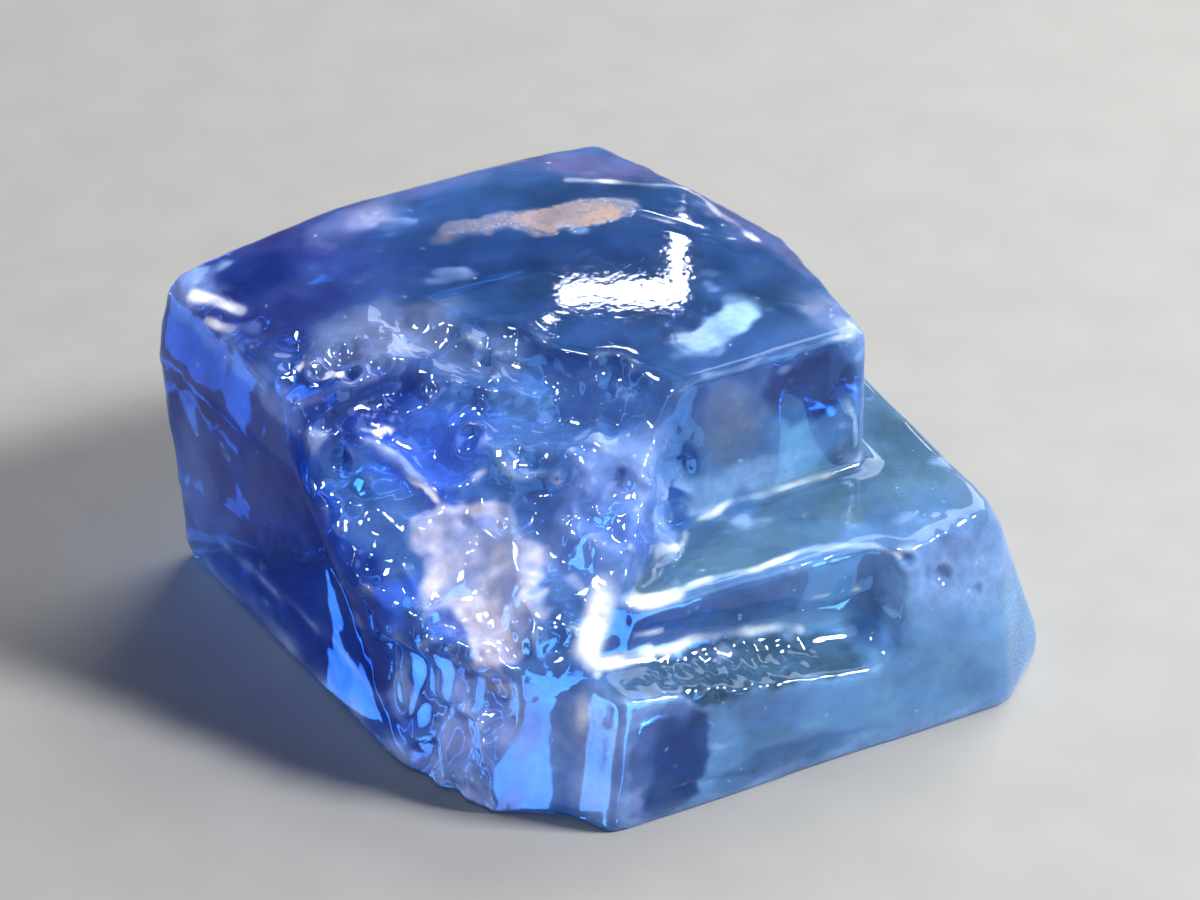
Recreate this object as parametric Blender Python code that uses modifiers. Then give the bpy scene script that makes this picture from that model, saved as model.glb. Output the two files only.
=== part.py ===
"""A blue halite crystal: one cleaved block of rock salt, half dissolved, that rests on its flat base.

Axes: +X runs along the longer base edge, +Y to the back, +Z up. The origin is at the middle of the
base of the block. Lengths are in millimetres, and MM turns them into metres.
"""

import math

import bmesh
import bpy
from mathutils import Matrix, Vector, noise

MM = 0.001

# Driving dimensions of the cleaved block
LENGTH = 42.4
DEPTH = 38.6
HEIGHT = 22.4
LEFT = -LENGTH / 2
RIGHT = LENGTH / 2
FRONT = -DEPTH / 2
BACK = DEPTH / 2

# The faces run on this far below the base before it is trimmed flat
UNDER = -1.6

# The high block at the back, and the lower shelf in front of it and to its right
HIGH_RIGHT = 14.6
HIGH_FRONT = FRONT + 10.2
SHELF_LEFT = -16.0
SHELF_HEIGHT = 12.8
SHELF_BACK = 9.0

# The left shoulder and the nose end inside the high block, and where they share a face with it they lie a
# little under it
SHOULDER_RIGHT = 0.0
SHOULDER_SINK = 0.04
NOSE_RIGHT = 4.0
NOSE_BACK = 5.0
NOSE_SINK = 0.07

# The scooped step along the front of the shelf
STEP_BACK = FRONT + 3.7
STEP_LEFT = -10.6
STEP_RIGHT = 8.4
STEP_HEIGHT = 10.0
STEP_FALL = 11.5
STEP_CLIMB = 9.0
STEP_FILLET = 1.6
STEP_CUT = (34.0, 9.0, 14.0)

# Cleavage and solution faces: a point on the face, the way it faces in plan, its rise above the horizon
LEFT_FACES = (
    ((-20.0, 18.3, 0.0), 183.6, -4.5),
    ((-21.1, 18.0, 16.5), 183.6, 12.0),
    ((-19.7, 9.0, 20.0), 188.0, 70.0),
)
RIGHT_FACES = (
    ((9.6, 18.5, 10.0), 14.0, 0.0),
    ((13.4, 2.0, 10.0), -6.0, 0.0),
    ((11.5, 1.0, 22.4), 2.0, 78.0),
    ((8.6, 12.3, 22.4), 50.0, 84.0),
)
TOP_FACES = (
    ((-9.0, 4.0, 22.4), 208.0, 76.0),
    ((-10.0, 19.3, 22.1), 122.0, 74.0),
)
MIDDLE_SLOPE = ((-4.4, -2.3, 22.2), 213.0, 49.6)
LEFT_SLOPE = ((-19.2, 3.7, 19.8), 250.0, 36.0)
FOOT_FACES = (
    ((-15.2, -14.3, 0.0), 204.5, 4.0),
    ((-15.2, -14.3, 0.0), 234.0, 3.0),
)
NOSE_FACES = (
    ((-0.5, -9.1, 12.8), -49.0, 4.0),
    ((-8.2, -15.9, 12.0), 268.0, 10.0),
)
SHOULDER_FACES = (
    ((-13.0, 8.0, 22.4), 335.0, 66.0),
)
SHELF_FACES = (
    ((-11.9, -16.7, 0.0), 206.0, 5.0),
    ((-8.2, -15.8, 12.2), 213.0, 49.6),
    ((12.0, -19.3, 5.5), -78.0, 14.0),
    ((21.1, -8.0, 3.0), -3.0, 22.0),
    ((18.9, -16.9, 2.5), -50.0, 9.0),
    ((18.0, -16.6, 9.5), -42.0, 26.0),
    ((15.8, -19.2, 2.5), -72.0, 8.0),
    ((18.4, 5.5, 4.0), 38.0, 14.0),
)

# Surface grid, rounding of the dissolved edges, and triangles kept
VOXEL = 0.4
ROUNDING_PASSES = 3
ROUNDING = 0.5
TRIANGLES = 18000

# The dissolved corner ends at these two lines in plan, each a point and the way to the sound salt
CORNER_EDGES = (
    ((0.2, -9.8), -49.0),
    ((-8.2, -16.4), 256.0),
)
CORNER_FADE = 1.2

# Solution relief on the dissolved corner: size of a feature, and its height
LUMP = (4.6, 1.1)
KNOB = (1.7, 0.5)
SCALLOP = (2.3, 0.75)
FLUTE = (2.4, 0.3)
FLUTE_TOP = 8.5
FLUTE_FADE = 2.5
FLUTE_WANDER = (5.0, 1.2)
CORNER_FACING = 219.0
FOOT = (0.9, 0.25)
SWELL = (9.0, 0.12)
BOWL_REACH = 0.8

# Single pits: centre, radius, depth. The shallow wide ones are pools.
PITS = (
    ((-17.7, 0.8, 16.7), 1.0, 0.6),
    ((-10.7, -2.3, 17.7), 0.9, 0.6),
    ((-3.1, -5.3, 21.7), 1.3, 0.8),
    ((-15.6, -9.2, 10.6), 1.3, 0.9),
    ((-17.4, 7.6, 20.9), 1.5, 0.8),
    ((-18.7, 4.9, 20.1), 1.0, 0.5),
    ((-15.8, 4.9, 20.9), 1.6, 0.9),
    ((-12.9, 1.8, 20.4), 1.7, 0.8),
    ((-18.4, 10.6, 20.8), 1.2, 0.5),
    ((-7.2, 0.6, 21.6), 2.2, 0.9),
    ((-12.6, -1.2, 17.0), 3.6, 0.7),
    ((-5.2, -10.3, 17.6), 1.7, 0.9),
    ((-3.2, -10.8, 14.7), 1.5, 0.8),
    ((-9.6, -11.3, 14.2), 1.9, 0.7),
    ((-11.4, -14.2, 10.4), 1.6, 0.8),
)
PIT_RIM = 0.18
PIT_RIM_REACH = 0.5

# Calm areas with weak fine relief, each a centre and a radius: the pool, the frosted patch and the dome
CALM_AREAS = (
    ((-12.4, -1.0, 17.2), 3.2),
    ((-13.4, -8.2, 13.0), 4.0),
    ((-11.0, 5.5, 21.6), 4.0),
)
CALM = 0.3
CALM_REACH = 1.5

# The gouge beside the nose: its two ends, its width and depth, and the ribs across it
GOUGE = ((-6.9, -2.6, 21.6), (-5.0, -6.4, 19.4))
GOUGE_WIDTH = 1.7
GOUGE_DEPTH = 0.9
RIB = (1.15, 0.28)
RIB_BEND = 0.5

# Crests: the streak under the dome, the scalloped lip of the pool, and the edge of the domed top
CRESTS = (
    ((-19.2, 3.4, 19.3), (-17.0, 2.8, 19.7), (-14.8, 2.6, 20.4)),
    (
        (-16.0, 0.8, 17.5), (-14.5, -0.6, 16.4), (-13.4, -3.4, 15.4), (-11.8, -4.3, 16.0),
        (-10.5, -4.4, 16.9), (-8.8, -6.6, 17.0), (-5.1, -7.8, 19.1),
    ),
    ((-12.0, 5.0, 21.4), (-9.6, 4.8, 21.8), (-7.0, 2.6, 22.3), (-5.0, -1.6, 22.1)),
)
CREST_WIDTH = 0.85
CREST_HEIGHT = 0.65


def facing(plan_degrees, rise_degrees=0.0):
    """The outward direction of a face, from the way it faces in plan and its rise above the horizon."""
    plan = math.radians(plan_degrees)
    rise = math.radians(rise_degrees)
    return Vector((math.cos(plan) * math.cos(rise), math.sin(plan) * math.cos(rise), math.sin(rise)))


def smooth_step(value):
    value = min(max(value, 0.0), 1.0)
    return value * value * (3.0 - 2.0 * value)


def clear_scene():
    for item in list(bpy.data.objects):
        bpy.data.objects.remove(item, do_unlink=True)


def new_collection(name):
    collection = bpy.data.collections.new(name)
    bpy.context.scene.collection.children.link(collection)
    return collection


def cleave(mesh, faces, sink):
    """Cuts the convex block back to each face, sunk by a little under a shared one, and closes the cut."""
    for point, plan, rise in faces:
        outward = facing(plan, rise)
        everything = mesh.verts[:] + mesh.edges[:] + mesh.faces[:]
        bmesh.ops.bisect_plane(
            mesh,
            geom=everything,
            plane_co=(Vector(point) - outward * sink) * MM,
            plane_no=outward,
            clear_outer=True,
        )
        rim = [edge for edge in mesh.edges if edge.is_boundary]
        bmesh.ops.holes_fill(mesh, edges=rim, sides=0)


def block(name, low, high, faces, collection, sink=0.0):
    """A box between two corners, cleaved back to the given faces."""
    low = Vector(low) * MM
    high = Vector(high) * MM
    mesh = bmesh.new()
    bmesh.ops.create_cube(mesh, size=1.0)
    scale = Matrix.Diagonal((*(high - low), 1.0))
    bmesh.ops.transform(mesh, matrix=Matrix.Translation((low + high) / 2) @ scale, verts=mesh.verts)
    cleave(mesh, faces, sink)
    bmesh.ops.recalc_face_normals(mesh, faces=mesh.faces)
    data = bpy.data.meshes.new(name)
    mesh.to_mesh(data)
    mesh.free()
    item = bpy.data.objects.new(name, data)
    collection.objects.link(item)
    return item


def helper(item):
    item.hide_render = True
    item.display_type = "WIRE"
    return item


def boolean(item, other, operation):
    modifier = item.modifiers.new(other.name, "BOOLEAN")
    modifier.operation = operation
    modifier.solver = "EXACT"
    modifier.object = other


def bake(item):
    """Gives the object the mesh that its modifiers make, and removes them."""
    bpy.context.view_layer.update()
    graph = bpy.context.evaluated_depsgraph_get()
    finished = bpy.data.meshes.new_from_object(item.evaluated_get(graph))
    item.modifiers.clear()
    old = item.data
    item.data = finished
    bpy.data.meshes.remove(old)


def step_cutter(collection):
    """The salt that is missing over the scooped step, whose floor falls to the right."""
    length, depth, height = STEP_CUT
    cutter = block("step_cutter", (-length, -depth, 0.0), (0.0, 0.0, height), (), collection)
    fillet = cutter.modifiers.new("fillet", "BEVEL")
    fillet.width = STEP_FILLET * MM
    fillet.segments = 3
    fillet.limit_method = "ANGLE"
    fall = math.radians(STEP_FALL)
    floor_at_right = STEP_HEIGHT - (STEP_RIGHT - STEP_LEFT) * math.tan(fall)
    cutter.location = Vector((STEP_RIGHT, STEP_BACK, floor_at_right)) * MM
    cutter.rotation_euler = (math.radians(STEP_CLIMB), fall, 0.0)
    return helper(cutter)


def cleaved_block(crystal_set, cutters):
    """The high block, joined with its left shoulder, the nose of the dissolved corner and the shelf."""
    crystal = block(
        "halite_crystal",
        (LEFT, HIGH_FRONT, UNDER),
        (HIGH_RIGHT, BACK, HEIGHT),
        LEFT_FACES + RIGHT_FACES + TOP_FACES + (MIDDLE_SLOPE,) + FOOT_FACES,
        crystal_set,
    )
    shoulder = block(
        "shoulder",
        (LEFT, HIGH_FRONT + SHOULDER_SINK, UNDER + SHOULDER_SINK),
        (SHOULDER_RIGHT, BACK - SHOULDER_SINK, HEIGHT - SHOULDER_SINK),
        LEFT_FACES + TOP_FACES + SHOULDER_FACES + (LEFT_SLOPE,) + FOOT_FACES,
        cutters,
        SHOULDER_SINK,
    )
    nose = block(
        "nose",
        (LEFT, FRONT, UNDER),
        (NOSE_RIGHT, NOSE_BACK, HEIGHT - NOSE_SINK),
        LEFT_FACES + TOP_FACES + (MIDDLE_SLOPE,) + FOOT_FACES + NOSE_FACES,
        cutters,
        NOSE_SINK,
    )
    shelf = block(
        "shelf", (SHELF_LEFT, FRONT, UNDER), (RIGHT, SHELF_BACK, SHELF_HEIGHT), SHELF_FACES, cutters,
    )
    for piece in (shoulder, nose, shelf):
        boolean(crystal, helper(piece), "UNION")
    boolean(crystal, step_cutter(cutters), "DIFFERENCE")
    bake(crystal)
    return crystal


def depth_under(point, faces):
    """How far a point lies under the nearest of the faces."""
    return min((Vector(start) - point).dot(facing(plan, rise)) for start, plan, rise in faces)


def corner_share(point):
    """1 on the dissolved corner and 0 on the sound cleavage faces, with a soft change between them."""
    under = [depth_under(point, LEFT_FACES + RIGHT_FACES + TOP_FACES), HEIGHT - point.z, BACK - point.y]
    for (edge_x, edge_y), plan in CORNER_EDGES:
        under.append((Vector((edge_x, edge_y, point.z)) - point).dot(facing(plan)))
    return smooth_step(min(under) / CORNER_FADE)


def pit_depth(point):
    total = 0.0
    for centre, radius, depth in PITS:
        share = (point - Vector(centre)).length / radius
        if share < 1.0:
            total += depth * (1.0 - share * share) ** 2
        elif share < 1.0 + PIT_RIM_REACH:
            total -= depth * PIT_RIM * math.sin((share - 1.0) / PIT_RIM_REACH * math.pi)
    return total


def nearest_on(point, start, end):
    """How far along the line from start to end the nearest place is, 0 to 1, and its distance."""
    along = Vector(end) - Vector(start)
    share = (point - Vector(start)).dot(along) / along.length_squared
    share = min(max(share, 0.0), 1.0)
    return share, (point - Vector(start) - along * share).length


def crest_height(point):
    gaps = [nearest_on(point, *ends)[1] for crest in CRESTS for ends in zip(crest, crest[1:])]
    return CREST_HEIGHT * math.exp(-((min(gaps) / CREST_WIDTH) ** 2))


def gouge_depth(point):
    """A trough with curved ribs across it."""
    start, end = GOUGE
    share, gap = nearest_on(point, start, end)
    inside = math.exp(-((gap / GOUGE_WIDTH) ** 2))
    size, height = RIB
    along = share * (Vector(end) - Vector(start)).length + RIB_BEND * (gap / GOUGE_WIDTH) ** 2
    return inside * (GOUGE_DEPTH + height * math.sin(2.0 * math.pi * along / size))


def calmness(point):
    """The share of the fine relief that is left: little in the calm areas, all of it elsewhere."""
    left = 1.0
    for centre, radius in CALM_AREAS:
        inside = smooth_step(CALM_REACH - (point - Vector(centre)).length / radius)
        left = min(left, 1.0 - (1.0 - CALM) * inside)
    return left


def scallop_depth(point):
    """Bowls that meet in narrow ridges, as where water has eaten into the salt."""
    size, depth = SCALLOP
    nearest = noise.voronoi(point / size)[0][0]
    return depth * (1.0 - smooth_step(nearest / BOWL_REACH)) - depth / 3.0


def flute_depth(point):
    """Upright grooves low on the dissolved corner."""
    size, depth = FLUTE
    along = point.dot(facing(CORNER_FACING + 90.0)) + FLUTE_WANDER[1] * noise.noise(point / FLUTE_WANDER[0])
    low = smooth_step((FLUTE_TOP - point.z) / FLUTE_FADE)
    return depth * math.sin(2.0 * math.pi * along / size) * low


def foot_tuck(point):
    """The bottom edges curl in a little."""
    height, depth = FOOT
    return depth * smooth_step(1.0 - point.z / height)


def relief(point):
    """How far the surface stands out from the cleaved block here."""
    share = corner_share(point)
    height = SWELL[1] * noise.noise(point / SWELL[0])
    height -= pit_depth(point) + foot_tuck(point)
    if share > 0.0:
        fine = KNOB[1] * noise.noise(point / KNOB[0]) - scallop_depth(point)
        rough = LUMP[1] * noise.noise(point / LUMP[0]) + calmness(point) * fine
        rough += crest_height(point) - gouge_depth(point) - flute_depth(point)
        height += share * rough
    return height


def even_grid(crystal, passes):
    """Remakes the surface on a fine even grid, and softens its edges."""
    grid = crystal.modifiers.new("grid", "REMESH")
    grid.mode = "VOXEL"
    grid.voxel_size = VOXEL * MM
    bake(crystal)
    mesh = bmesh.new()
    mesh.from_mesh(crystal.data)
    for _ in range(passes):
        bmesh.ops.smooth_vert(
            mesh, verts=mesh.verts, factor=ROUNDING, use_axis_x=True, use_axis_y=True, use_axis_z=True
        )
    mesh.to_mesh(crystal.data)
    mesh.free()


def dissolve(crystal):
    """Puts the relief of the dissolved corner on the block."""
    mesh = bmesh.new()
    mesh.from_mesh(crystal.data)
    mesh.normal_update()
    moves = [vert.normal * relief(vert.co / MM) * MM for vert in mesh.verts]
    for vert, move in zip(mesh.verts, moves):
        vert.co += move
    mesh.to_mesh(crystal.data)
    mesh.free()


def thin_out(crystal):
    """Keeps few triangles on the flat faces and many on the dissolved corner."""
    crystal.data.calc_loop_triangles()
    thin = crystal.modifiers.new("thin", "DECIMATE")
    thin.ratio = TRIANGLES / len(crystal.data.loop_triangles)
    thin.use_collapse_triangulate = True
    bake(crystal)


def trim_base(crystal, cutters):
    """Cuts the base flat, then brings the crystal to its full length, depth and height."""
    ground = block("ground", (-LENGTH, -DEPTH, -HEIGHT), (LENGTH, DEPTH, 0.0), (), cutters)
    boolean(crystal, helper(ground), "DIFFERENCE")
    bake(crystal)
    mesh = bmesh.new()
    mesh.from_mesh(crystal.data)
    low = Vector(min(vert.co[axis] for vert in mesh.verts) for axis in range(3))
    high = Vector(max(vert.co[axis] for vert in mesh.verts) for axis in range(3))
    full = Vector((LENGTH, DEPTH, HEIGHT)) * MM
    scale = Matrix.Diagonal((*(full[axis] / (high - low)[axis] for axis in range(3)), 1.0))
    middle = Vector(((low.x + high.x) / 2, (low.y + high.y) / 2, low.z))
    bmesh.ops.transform(mesh, matrix=scale @ Matrix.Translation(-middle), verts=mesh.verts)
    mesh.to_mesh(crystal.data)
    mesh.free()


def salt_material():
    salt = bpy.data.materials.new("blue_halite")
    salt.use_nodes = True
    shader = salt.node_tree.nodes["Principled BSDF"]
    shader.inputs["Base Color"].default_value = (0.03, 0.12, 0.5, 1.0)
    shader.inputs["Roughness"].default_value = 0.08
    shader.inputs["Metallic"].default_value = 0.0
    shader.inputs["IOR"].default_value = 1.544
    shader.inputs["Transmission Weight"].default_value = 0.8
    return salt


def build_crystal():
    cutters = new_collection("cutters")
    crystal = cleaved_block(new_collection("halite_crystal"), cutters)
    even_grid(crystal, ROUNDING_PASSES)
    dissolve(crystal)
    even_grid(crystal, 1)
    thin_out(crystal)
    trim_base(crystal, cutters)
    crystal.data.materials.clear()
    crystal.data.materials.append(salt_material())
    crystal.data.shade_smooth()
    crystal.data.set_sharp_from_angle(angle=math.radians(35.0))


clear_scene()
build_crystal()
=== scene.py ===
import math
import time

import bpy
import numpy as np
from mathutils import Euler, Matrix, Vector, noise


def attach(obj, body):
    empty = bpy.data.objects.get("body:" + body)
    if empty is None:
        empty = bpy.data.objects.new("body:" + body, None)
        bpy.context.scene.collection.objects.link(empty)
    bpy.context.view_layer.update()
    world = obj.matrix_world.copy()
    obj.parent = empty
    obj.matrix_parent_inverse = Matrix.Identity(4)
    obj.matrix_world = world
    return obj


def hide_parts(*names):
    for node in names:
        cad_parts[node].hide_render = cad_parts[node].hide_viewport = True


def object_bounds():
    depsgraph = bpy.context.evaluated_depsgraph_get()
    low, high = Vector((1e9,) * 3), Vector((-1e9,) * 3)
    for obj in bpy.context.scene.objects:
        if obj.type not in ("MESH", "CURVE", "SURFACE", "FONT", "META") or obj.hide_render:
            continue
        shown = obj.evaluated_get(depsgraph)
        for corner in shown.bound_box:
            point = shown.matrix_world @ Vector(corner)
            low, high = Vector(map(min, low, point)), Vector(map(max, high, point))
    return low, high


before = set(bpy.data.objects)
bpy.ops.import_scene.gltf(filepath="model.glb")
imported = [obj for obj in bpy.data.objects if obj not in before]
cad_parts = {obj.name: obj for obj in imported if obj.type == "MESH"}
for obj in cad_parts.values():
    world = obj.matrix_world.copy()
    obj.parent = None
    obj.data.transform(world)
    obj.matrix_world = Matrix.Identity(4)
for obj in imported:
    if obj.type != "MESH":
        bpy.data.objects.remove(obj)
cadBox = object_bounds()
mm = 0.001
startedAt = time.time()


def say(text):
    print(f"blue halite: {text} ({time.time() - startedAt:.1f} s)")


def selectOnly(thing):
    bpy.ops.object.select_all(action="DESELECT")
    thing.select_set(True)
    bpy.context.view_layer.objects.active = thing


def applyModifier(thing, kind, **settings):
    selectOnly(thing)
    modifier = thing.modifiers.new(kind.lower(), kind)
    for setting, value in settings.items():
        setattr(modifier, setting, value)
    bpy.ops.object.modifier_apply(modifier=modifier.name)


def softStep(value):
    value = np.clip(value, 0.0, 1.0)
    return value * value * (3.0 - 2.0 * value)


def between(values, low, high):        # 0 below low, 1 above high, with a soft step from one to the other
    return softStep((values - low) / (high - low))


# the crystal: the cleaved block, remade finely enough to carry the small marks that water left
crystalLook = {
    "weldMm": 0.01,
    "gridMm": 0.2,             # finest mark that the surface can show
    "softenPasses": 7,         # rounds the broken edges
    "steadyPasses": 12,        # steadies the directions in which marks are sunk
    "lastSmoothing": 0.4,
    "triangles": 192000,
    "coarser": {"base": 0.95, "hidden": 0.6},   # how readily triangles are joined there, 0 to 1
    "coarserFactor": 10.0,
    "standProudMm": 0.12,      # most that a mark may stand out of the block's own box
}


def fineBlock():
    block = bpy.data.objects.new("blueHaliteCrystal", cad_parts["halite_crystal"].data.copy())
    bpy.context.scene.collection.objects.link(block)
    block.data.materials.clear()
    selectOnly(block)
    bpy.ops.object.mode_set(mode="EDIT")
    bpy.ops.mesh.select_all(action="SELECT")
    bpy.ops.mesh.remove_doubles(threshold=crystalLook["weldMm"] * mm)
    bpy.ops.object.mode_set(mode="OBJECT")
    applyModifier(block, "REMESH", mode="VOXEL", voxel_size=crystalLook["gridMm"] * mm)
    # this lays the cleaved faces back in their planes, without the grid's ripples
    applyModifier(
        block, "SHRINKWRAP", target=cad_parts["halite_crystal"], wrap_method="NEAREST_SURFACEPOINT",
    )
    applyModifier(block, "SMOOTH", factor=0.5, iterations=crystalLook["softenPasses"])
    say(f"grid of {len(block.data.polygons)} faces")
    return block


def pointsMm(thing):
    places = np.empty(len(thing.data.vertices) * 3)
    thing.data.vertices.foreach_get("co", places)
    return places.reshape(-1, 3) / mm


def placePoints(thing, places):
    thing.data.vertices.foreach_set("co", (places * mm).ravel())
    thing.data.update()


def normalsOf(thing):
    normals = np.empty(len(thing.data.vertices) * 3)
    thing.data.vertices.foreach_get("normal", normals)
    return normals.reshape(-1, 3)


def neighbourMean(thing, values, passes):
    pairs = np.empty(len(thing.data.edges) * 2, int)
    thing.data.edges.foreach_get("vertices", pairs)
    first, second = pairs.reshape(-1, 2).T
    count = len(thing.data.vertices)
    neighbours = np.bincount(first, minlength=count) + np.bincount(second, minlength=count)
    for _ in range(passes):
        sums = [
            np.bincount(first, column[second], count) + np.bincount(second, column[first], count)
            for column in values.T
        ]
        values = np.stack([total / neighbours for total in sums], axis=1)
    return values


def markGroup(thing, name, weights, steps=200):       # weights are kept in this many steps
    group = thing.vertex_groups.new(name=name)
    levels = np.round(np.clip(weights, 0.0, 1.0) * steps).astype(int)
    for level in np.unique(levels):
        if level:
            group.add(np.flatnonzero(levels == level).tolist(), level / steps, "REPLACE")
    return name


def keepAttribute(thing, name, values):
    attribute = thing.data.attributes.new(name, "FLOAT", "POINT")
    attribute.data.foreach_set("value", np.ascontiguousarray(values, dtype=np.float32))


crystal = fineBlock()

# what water took from the near left corner lies below these faces: a point in mm, then where
# the face looks, as its plan angle and its rise in degrees
wholeFaces = [
    ((-20.0, 18.3, 0.0), 183.6, -4.5),
    ((-21.1, 18.0, 16.5), 183.6, 12.0),
    ((-19.7, 9.0, 20.0), 188.0, 70.0),
    ((9.6, 18.5, 10.0), 14.0, 0.0),
    ((13.4, 2.0, 10.0), -6.0, 0.0),
    ((11.5, 1.0, 22.4), 2.0, 78.0),
    ((8.6, 12.3, 22.4), 50.0, 84.0),
    ((-9.0, 4.0, 22.4), 208.0, 76.0),
    ((-10.0, 19.3, 22.1), 122.0, 74.0),
    ((0.0, 0.0, 22.4), 0.0, 90.0),
    ((0.0, 19.3, 0.0), 90.0, 0.0),
    ((0.2, -9.8, 0.0), -49.0, 0.0),
    ((-8.2, -16.4, 0.0), 256.0, 0.0),
]
cornerLook = {
    "startMm": 0.3,            # depth at which solution begins to show
    "fadeMm": 0.8,
    "baseFadeMm": 0.8,         # no mark reaches the base
    "baseFacing": -0.7,
    "scallops": {"size": 3.0, "depth": 1.25, "kind": "VORONOI"},
    "smallScallops": {"size": 1.3, "depth": 0.34, "kind": "VORONOI"},
    "grain": {"size": 0.7, "depth": 0.03, "kind": "CLOUDS"},
    "middleLevel": 0.35,
    "patchySize": 3.5,         # the scallops come and go over this many mm
    "calmest": 0.35, "patchyContrast": 1.6,
}
# the flat top is a mirror: how high it lies, and where and how far it is levelled
topLook = {
    "heightMm": 22.22, "fromMm": 22.0, "fullMm": 22.14,
    "leastFacing": 0.98, "fullFacing": 0.99,
    "share": 0.93,
}


def facing(plan, rise):
    plan, rise = math.radians(plan), math.radians(rise)
    return np.array((math.cos(plan) * math.cos(rise), math.sin(plan) * math.cos(rise), math.sin(rise)))


places = pointsMm(crystal)
flat = between(places[:, 2], topLook["fromMm"], topLook["fullMm"])
flat *= between(normalsOf(crystal)[:, 2], topLook["leastFacing"], topLook["fullFacing"])
places[:, 2] += topLook["share"] * flat * (topLook["heightMm"] - places[:, 2])
placePoints(crystal, places)
outward = neighbourMean(crystal, normalsOf(crystal), crystalLook["steadyPasses"])
outward /= np.linalg.norm(outward, axis=1)[:, None]
depths = [(np.array(point) - places) @ facing(plan, rise) for point, plan, rise in wholeFaces]
corner = softStep((np.min(depths, axis=0) - cornerLook["startMm"]) / cornerLook["fadeMm"])
aboveBase = softStep(places[:, 2] / cornerLook["baseFadeMm"])
aboveBase[normalsOf(crystal)[:, 2] < cornerLook["baseFacing"]] = 0.0


def near(centre, halfSizes, core=0.5):        # 1 in the core of a rounded place, 0 outside it
    distance = np.linalg.norm((places - np.array(centre)) / np.array(halfSizes), axis=1)
    return softStep((1.0 - distance) / (1.0 - core))


def alongLine(points, spots):                 # how far each spot lies from the line through the points
    points = np.array(points, float)
    best = np.full(len(spots), np.inf)
    for start, end in zip(points[:-1], points[1:]):
        run = end - start
        share = np.clip((spots - start) @ run / (run @ run), 0.0, 1.0)
        best = np.minimum(best, np.linalg.norm(spots - start - share[:, None] * run, axis=1))
    return best


# places where the water left the surface smooth: middle and half sizes in mm, and how smooth
calmAreas = [
    ((-13.0, -1.2, 17.0), (2.8, 2.8, 2.2), 0.85),     # the blue pool
    ((-13.2, -8.0, 12.6), (3.6, 4.2, 3.8), 0.7),      # the frosted patch
    ((-11.5, 5.0, 21.5), (4.6, 3.0, 1.6), 0.85),      # the grey dome
    ((-8.0, -14.0, 13.6), (3.4, 3.2, 2.4), 0.75),     # where the painted white highlight lies
    ((-18.0, -7.6, 6.5), (2.0, 2.4, 4.0), 0.8),       # grey lens at the left edge
]
calm = np.array([noise.noise(Vector(place) / cornerLook["patchySize"]) for place in places])
calm = softStep(0.5 + cornerLook["patchyContrast"] * calm)
calm = cornerLook["calmest"] + (1.0 - cornerLook["calmest"]) * calm
for middle, halfSizes, share in calmAreas:
    calm *= 1.0 - share * near(middle, halfSizes)


def roughen(name, look, middleLevel, weights):
    pattern = bpy.data.textures.new(name, look["kind"])
    pattern.noise_scale = look["size"] * mm
    if look["kind"] == "VORONOI":
        pattern.distance_metric = "DISTANCE_SQUARED"
    applyModifier(
        crystal, "DISPLACE", texture=pattern, texture_coords="LOCAL", direction="NORMAL",
        strength=look["depth"] * mm, mid_level=middleLevel, vertex_group=markGroup(crystal, name, weights),
    )


for name in ("scallops", "smallScallops", "grain"):
    roughen(name, cornerLook[name], cornerLook["middleLevel"], corner * aboveBase * calm)

# the cleaved sides swell a little, and the top doesn't
swellLook = {"size": 5.0, "depth": 0.12, "kind": "CLOUDS", "middleLevel": 0.5, "topFacing": 0.8}
swelling = aboveBase * (normalsOf(crystal)[:, 2] < swellLook["topFacing"])
roughen("swell", swellLook, swellLook["middleLevel"], swelling)
say("corner scalloped")

# single marks in mm: middle, radius, depth, then how far the rim stands up
pits = [
    ((-17.7, 0.8, 16.7), 0.8, 0.5, 0.16),
    ((-10.7, -2.3, 17.7), 0.9, 0.5, 0.16),
    ((-3.1, -5.3, 21.7), 1.2, 0.5, 0.15),
    ((-16.4, -9.2, 10.4), 1.3, 0.7, 0.12),
    ((-17.0, 7.3, 20.9), 0.6, 0.35, 0.08),
    ((-18.3, 6.5, 20.3), 0.6, 0.4, 0.1),
    ((-17.0, 4.5, 20.7), 0.9, 0.55, 0.12),
    ((-15.7, 3.2, 20.7), 0.8, 0.5, 0.12),
    ((-13.9, 2.8, 21.0), 0.8, 0.45, 0.1),
    ((-15.4, 5.6, 21.0), 0.6, 0.35, 0.1),
    ((-11.4, 1.0, 19.4), 0.6, 0.35, 0.12),
    ((-5.2, -10.3, 17.8), 0.8, 0.45, 0.08),
    ((-4.1, -10.7, 16.3), 0.7, 0.4, 0.06),
    ((-3.4, -10.8, 14.7), 0.8, 0.4, 0.06),
    ((-2.9, -11.0, 13.0), 0.7, 0.35, 0.06),
    ((12.0, -18.0, 10.2), 0.8, 0.35, 0.05),
    ((9.7, -17.8, 11.8), 0.6, 0.3, 0.05),
    ((14.5, -18.0, 8.3), 0.5, 0.2, 0.04),
]
drops = [                                   # rounded drops in or beside the pits: middle, radius, height
    ((-17.7, 0.8, 16.5), 0.34, 0.3),
    ((-10.7, -2.3, 17.5), 0.36, 0.28),
    ((-15.0, 1.1, 17.9), 0.7, 0.35),
    ((-16.4, -9.2, 10.0), 0.6, 0.35),
]
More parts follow.
